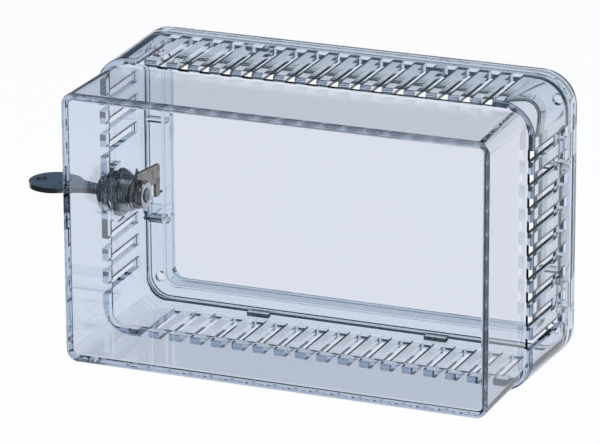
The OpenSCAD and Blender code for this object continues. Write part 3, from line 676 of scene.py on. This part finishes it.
def nut(name, start, end, flats, bore):
    """Six-sided nut: the radius is the smaller of flats/2 / cos(angle from a flat) and a cone."""
    sixth = math.pi / 3
    outline = flats / 2 / np.cos((angle + sixth / 2) % sixth - sixth / 2)
    along = np.concatenate([start + CHAMFER, end - CHAMFER[::-1]])
    cone = flats / 2 * CONE_START + CONE_RISE * np.concatenate([CHAMFER, CHAMFER[::-1]])
    side = np.minimum(outline, cone[:, None])
    stations = np.concatenate([along, [end, end - LEAD_IN, start + LEAD_IN, start]])
    hole = np.array([bore + LEAD_IN, bore, bore, bore + LEAD_IN])[:, None] * np.ones(TURN_STEPS)
    made = turned(name, stations, np.vstack([side, hole]))
    made.data.set_sharp_from_angle(angle=math.radians(NUT_SHARP))
    return made


nut_low, nut_high = box_mm("lock_nut")
large_nut = nut("barrel_nut", nut_low[0], nut_high[0], LARGE_FLATS, BARREL_R + NUT_ROOM)
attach(large_nut, "cover")
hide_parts("lock_nut")
nut_low, nut_high = box_mm("cam_nut")
small_nut = nut("cam_nut_piece", nut_low[0], nut_high[0], SMALL_FLATS, SMALL_BORE)
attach(small_nut, "lock_core")
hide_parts("cam_nut")
print("nuts", round(volume(large_nut)), round(volume(small_nut)), "mm3")


# %% [markdown]
# The cam and the key are cut from sheet, so each is an outline with rounded corners, given its
# thickness and a small edge break. The outline is written as its few real corners, and every
# corner is replaced by an arc, as a file or a punch leaves it.

# %% Sheet pieces
def rounded_outline(corners, radii, steps=6):
    """Replaces each corner by a curve between points at its radius from it along both sides.

    The curve is (1-t)^2 start + 2t(1-t) corner + t^2 end, with t from 0 to 1.
    """
    corners, radii = np.array(corners, float), np.array(radii, float)[:, None]
    back, ahead = np.roll(corners, 1, 0) - corners, np.roll(corners, -1, 0) - corners
    start = corners + radii * back / np.linalg.norm(back, axis=1)[:, None]
    end = corners + radii * ahead / np.linalg.norm(ahead, axis=1)[:, None]
    t = np.linspace(0, 1, steps)[None, :, None]
    curve = (1 - t) ** 2 * start[:, None] + 2 * t * (1 - t) * corners[:, None] + t ** 2 * end[:, None]
    return curve.reshape(-1, 2)


def plate(name, outline, place):
    """A sheet between two copies of an outline; place(outline, side) gives their 3-D points."""
    points = np.stack([place(outline, 0), place(outline, 1)])
    index = np.arange(2 * len(outline)).reshape(2, -1)
    made = as_object(name, points, grid_faces(index).reshape(-1, 4).tolist()
                     + [index[0][::-1].tolist(), index[1].tolist()])
    if volume(made) < 0:
        made.data.flip_normals()
    return made


print("sheet helpers:", rounded_outline.__name__, plate.__name__)

# %% Cam
cam_low, cam_high = box_mm("cam")
CAM_X, CAM_END = cam_low[0], cam_high[0]
REACH, CAM_TOP, END_TOP, CAM_ARM_LOW, TOOTH_LOW, TOOTH_U = 17.2, 8.8, 7.0, 0.4, -5.5, 13.8
HUB_R, HUB_STEPS, HEEL, CAM_THROAT = 5.5, 30, 2.4, 5.6
TAIL_HOLE_R, CAM_EDGE = 3.6, 0.15
hub = np.linspace(math.pi, 2 * math.pi, HUB_STEPS)
cam_corners = rounded_outline(
    [(-HUB_R, 0.5), (-HEEL, CAM_TOP), (REACH, END_TOP), (REACH, TOOTH_LOW), (TOOTH_U, TOOTH_LOW),
     (TOOTH_U, CAM_ARM_LOW), (CAM_THROAT, CAM_ARM_LOW)], [0.1, 1.2, 0.6, 0.5, 0.5, 0.8, 0.1])
hub_points = HUB_R * np.stack([np.cos(hub), np.sin(hub)], -1)
cam_outline = np.vstack([hub_points[:-1], cam_corners[::-1]])
cam = plate("cam_plate", cam_outline, lambda o, side: np.stack(
    [np.full(len(o), (CAM_X, CAM_END)[side]), LOCK_Y + o[:, 0], LOCK_Z + o[:, 1]], -1))
tail_hole = peg("tail_hole", 0, axis_at, TAIL_HOLE_R, CAM_X - OVERLAP, CAM_END + OVERLAP)
joined(cam, "DIFFERENCE", [tail_hole])
softened(cam, CAM_EDGE)
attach(cam, "lock_core")
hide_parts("cam")
print("cam volume", round(volume(cam)), "mm3")

# %% [markdown]
# The key is a flat blank with a round bow, a neck and a blade. Its outline is drawn for one side
# and mirrored for the other. The ring hole, the rounded cuts along both edges of the blade and one
# groove along each face are then taken away from it, as a key cutter does.

# %% Key
key_low, key_high = box_mm("key")
KEY_T, BOW_D, BOW_STEPS = key_high[2] - key_low[2], 20.0, 60
BOW_X, BLADE_END = key_low[0] + BOW_D / 2, key_high[0]
BOW_OPENING = math.radians(40)
BOW_NECK, NECK_W, NECK_START, NECK_END = (8.6, -5.1), 7.0, HEAD_X - 5.17, HEAD_X + 0.1
BLADE_W, BLADE_TIP = 6.4, 1.6
bow = np.linspace(BOW_OPENING, 2 * math.pi - BOW_OPENING, BOW_STEPS)
bow_points = np.stack([BOW_X + BOW_D / 2 * np.cos(bow), BOW_D / 2 * np.sin(bow)], -1)
low_side = rounded_outline(
    [(BOW_X + BOW_NECK[0], BOW_NECK[1]), (NECK_START, -NECK_W / 2), (NECK_END, -NECK_W / 2),
     (NECK_END, -BLADE_W / 2), (BLADE_END - BLADE_TIP, -BLADE_W / 2), (BLADE_END, 0)],
    [0.5, 2.5, 0.2, 0.1, 0.5, 0.3])
high_side = low_side[::-1] * (1, -1)
key_outline = np.vstack([bow_points, low_side[:-1], high_side])
key = plate("key_blank", key_outline, lambda o, side: np.stack(
    [o[:, 0], LOCK_Y + o[:, 1], np.full(len(o), LOCK_Z + (side - 0.5) * KEY_T)], -1))
print("bow at", round(BOW_X, 2), "blade to", round(BLADE_END, 2), "volume", round(volume(key)), "mm3")

# %% Key: hole, grooves and cuts
RING_X, RING_R, CUT_REACH, KEY_EDGE = BOW_X - 5.6, 2.0, 5, 0.25
BITE_R, BITE_DEPTHS, BITE_START, BITE_STEP = 1.4, (0.6, 1.0, 0.6, 1.0), HEAD_X + 1.8, 2.44
GROOVE_W, GROOVE_Y, GROOVE_LEAD = 1.4, 1.2, 4
GROOVE_MID, GROOVE_HALF = KEY_T / 2 + 0.5, 0.5
hole = peg("ring_hole", 2, (RING_X, LOCK_Y), RING_R, -CUT_REACH, CUT_REACH)
bite_places = [(BITE_START + BITE_STEP * (i + 1), LOCK_Y + side * (BLADE_W / 2 + BITE_R - depth))
               for i, depth in enumerate(BITE_DEPTHS) for side in (-1, 1)]
bites = [peg("bite", 2, centre, BITE_R, -CUT_REACH, CUT_REACH) for centre in bite_places]
grooves = [block("groove", (NECK_END - GROOVE_LEAD, LOCK_Y + side * GROOVE_Y - GROOVE_W / 2,
                            side * GROOVE_MID - GROOVE_HALF),
                 (BLADE_END + OVERLAP, LOCK_Y + side * GROOVE_Y + GROOVE_W / 2,
                  side * GROOVE_MID + GROOVE_HALF))
           for side in (-1, 1)]
joined(key, "DIFFERENCE", [hole] + bites + grooves)
softened(key, KEY_EDGE)
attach(key, "key")
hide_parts("key")
print("key after cutting", round(volume(key)), "mm3")


# %% [markdown]
# The guard is moulded from clear plastic. A glass shader alone would look like an ideal solid, so
# the real one's small faults are added: a colour that drifts a little, faint flow ripples from the
# mould and a few fine scuffs from handling. Light that runs a long way inside the plastic turns
# blue-green, and that is an absorption in its volume rather than a colour on its surface.

# %% Clear plastic
PALE, DEEPER = (0.94, 0.97, 0.995, 1), (0.90, 0.94, 0.98, 1)
SCUFF_ROUGHNESS = 0.035


def clear_plastic(name, tint, density):
    """Clear plastic: drifting colour, ripples as bump, scuffs as roughness, a tint that grows inside."""
    finish = bpy.data.materials.new(name)
    tree = Tree(finish)
    place = tree.node("ShaderNodeTexCoord", out="Object")
    drift = tree.node("ShaderNodeTexNoise", None, {"Vector": place, "Scale": 18.0, "Detail": 2.0})
    ripple = tree.node("ShaderNodeTexNoise", None, {"Vector": place, "Scale": 45.0, "Detail": 1.0})
    streaked = tree.node("ShaderNodeMapping", None, {
        "Vector": place, "Rotation": (0.3, 0.5, 0.2), "Scale": (1, 1, 14)})
    streaks = tree.node("ShaderNodeTexNoise", None, {"Vector": streaked, "Scale": 120.0, "Detail": 3.0})
    scuffs = tree.ramp(streaks, 0.70, 0.78)
    bump = tree.node("ShaderNodeBump", None, {"Strength": 0.05, "Distance": 0.00015, "Height": ripple})
    plastic = tree.node("ShaderNodeBsdfPrincipled", None, {
        "Base Color": tree.mix(drift, PALE, DEEPER), "Roughness": SCUFF_ROUGHNESS * scuffs,
        "IOR": 1.49, "Transmission Weight": 1.0, "Normal": bump})
    absorb = tree.node("ShaderNodeVolumeAbsorption", None, {"Color": tint, "Density": density})
    tree.node("ShaderNodeOutputMaterial", None, {"Surface": plastic, "Volume": absorb})
    return finish


cover_plastic = clear_plastic("cover_plastic", (0.64, 0.71, 0.80, 1), 26.0)
base_plastic = clear_plastic("base_plastic", (0.50, 0.68, 0.77, 1), 30.0)
print("plastics:", cover_plastic.name, base_plastic.name)


# %% [markdown]
# The lock is made from plated and plain metals. All of them are one recipe: a bright colour with
# duller clouds where the plating has worn, and fine marks left by the tool. Turned pieces carry
# marks that run round, and rolled sheet carries marks that run along, so the same noise is
# squeezed along another direction for each of them.

# %% Metals
ROUND_MARKS, SHEET_MARKS, BRUSHED = (1.0, 0.04, 0.04), (0.3, 0.05, 1.0), (0.04, 1.0, 1.0)
GRAIN, WEAR = 2600.0, 0.7


def metal(name, bright, dull, rough, marks_along):
    """A metal whose clouds mix its two colours and whose squeezed marks change gloss and relief."""
    finish = bpy.data.materials.new(name)
    tree = Tree(finish)
    place = tree.node("ShaderNodeTexCoord", out="Object")
    squeezed = tree.node("ShaderNodeMapping", None, {"Vector": place, "Scale": marks_along})
    clouds = tree.node("ShaderNodeTexNoise", None, {"Vector": place, "Scale": 240.0, "Detail": 5.0})
    marks = tree.node("ShaderNodeTexNoise", None, {"Vector": squeezed, "Scale": GRAIN, "Detail": 3.0})
    worn = tree.ramp(clouds, 0.42, 0.66)
    bump = tree.node("ShaderNodeBump", None, {"Strength": 0.25, "Distance": 0.00002, "Height": marks})
    shine = tree.node("ShaderNodeBsdfPrincipled", None, {
        "Base Color": tree.mix(WEAR * worn, bright, dull), "Metallic": 1.0,
        "Roughness": rough * (0.6 + worn + 0.8 * marks), "Normal": bump})
    tree.node("ShaderNodeOutputMaterial", None, {"Surface": shine})
    return finish


plated_barrel = metal("plated_barrel", (0.50, 0.52, 0.54, 1), (0.22, 0.23, 0.24, 1), 0.05, ROUND_MARKS)
plated_nut = metal("plated_nut", (0.58, 0.59, 0.60, 1), (0.38, 0.38, 0.37, 1), 0.07, ROUND_MARKS)
plated_plug = metal("plated_plug", (0.22, 0.26, 0.28, 1), (0.12, 0.14, 0.15, 1), 0.14, ROUND_MARKS)
bright_steel = metal("bright_steel", (0.62, 0.62, 0.63, 1), (0.42, 0.41, 0.40, 1), 0.20, SHEET_MARKS)
cam_steel = metal("cam_steel", (0.30, 0.27, 0.24, 1), (0.17, 0.15, 0.13, 1), 0.22, SHEET_MARKS)
key_steel = metal("key_steel", (0.56, 0.56, 0.57, 1), (0.34, 0.34, 0.35, 1), 0.20, BRUSHED)
tumbler_brass = metal("tumbler_brass", (0.76, 0.58, 0.27, 1), (0.52, 0.37, 0.16, 1), 0.22, SHEET_MARKS)
spring_steel = metal("spring_steel", (0.52, 0.52, 0.54, 1), (0.35, 0.34, 0.34, 1), 0.25, BRUSHED)
print("metals from", plated_barrel.name, "to", spring_steel.name)

# %% [markdown]
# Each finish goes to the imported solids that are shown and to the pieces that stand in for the
# others. A table from node to finish keeps that in one place, and the inner parts of the lock, which
# show only when it is taken apart, get theirs too.

# %% Finishes on pieces
finish_of = {
    "cover": cover_plastic, "base": base_plastic, "lock_housing": plated_barrel, "lock_nut": plated_nut,
    "cam_nut": plated_nut, "lock_plug": plated_plug, "lock_washer": bright_steel,
    "stop_washer": bright_steel, "cam_washer": bright_steel, "cam": cam_steel, "key": key_steel}
finish_of.update({name: tumbler_brass for name in nodes if name.startswith("wafer")})
finish_of.update({name: spring_steel for name in nodes if name.startswith("spring")})
stand_ins = {"cover": cover, "base": base, "lock_housing": housing, "lock_nut": large_nut,
             "cam_nut": small_nut, "cam": cam, "key": key}
for name, finish in finish_of.items():
    for piece in (nodes[name], stand_ins.get(name)):
        if piece is not None:
            piece.data.materials.clear()
            piece.data.materials.append(finish)
print("finished:", len(finish_of), "nodes and", len(stand_ins), "pieces")
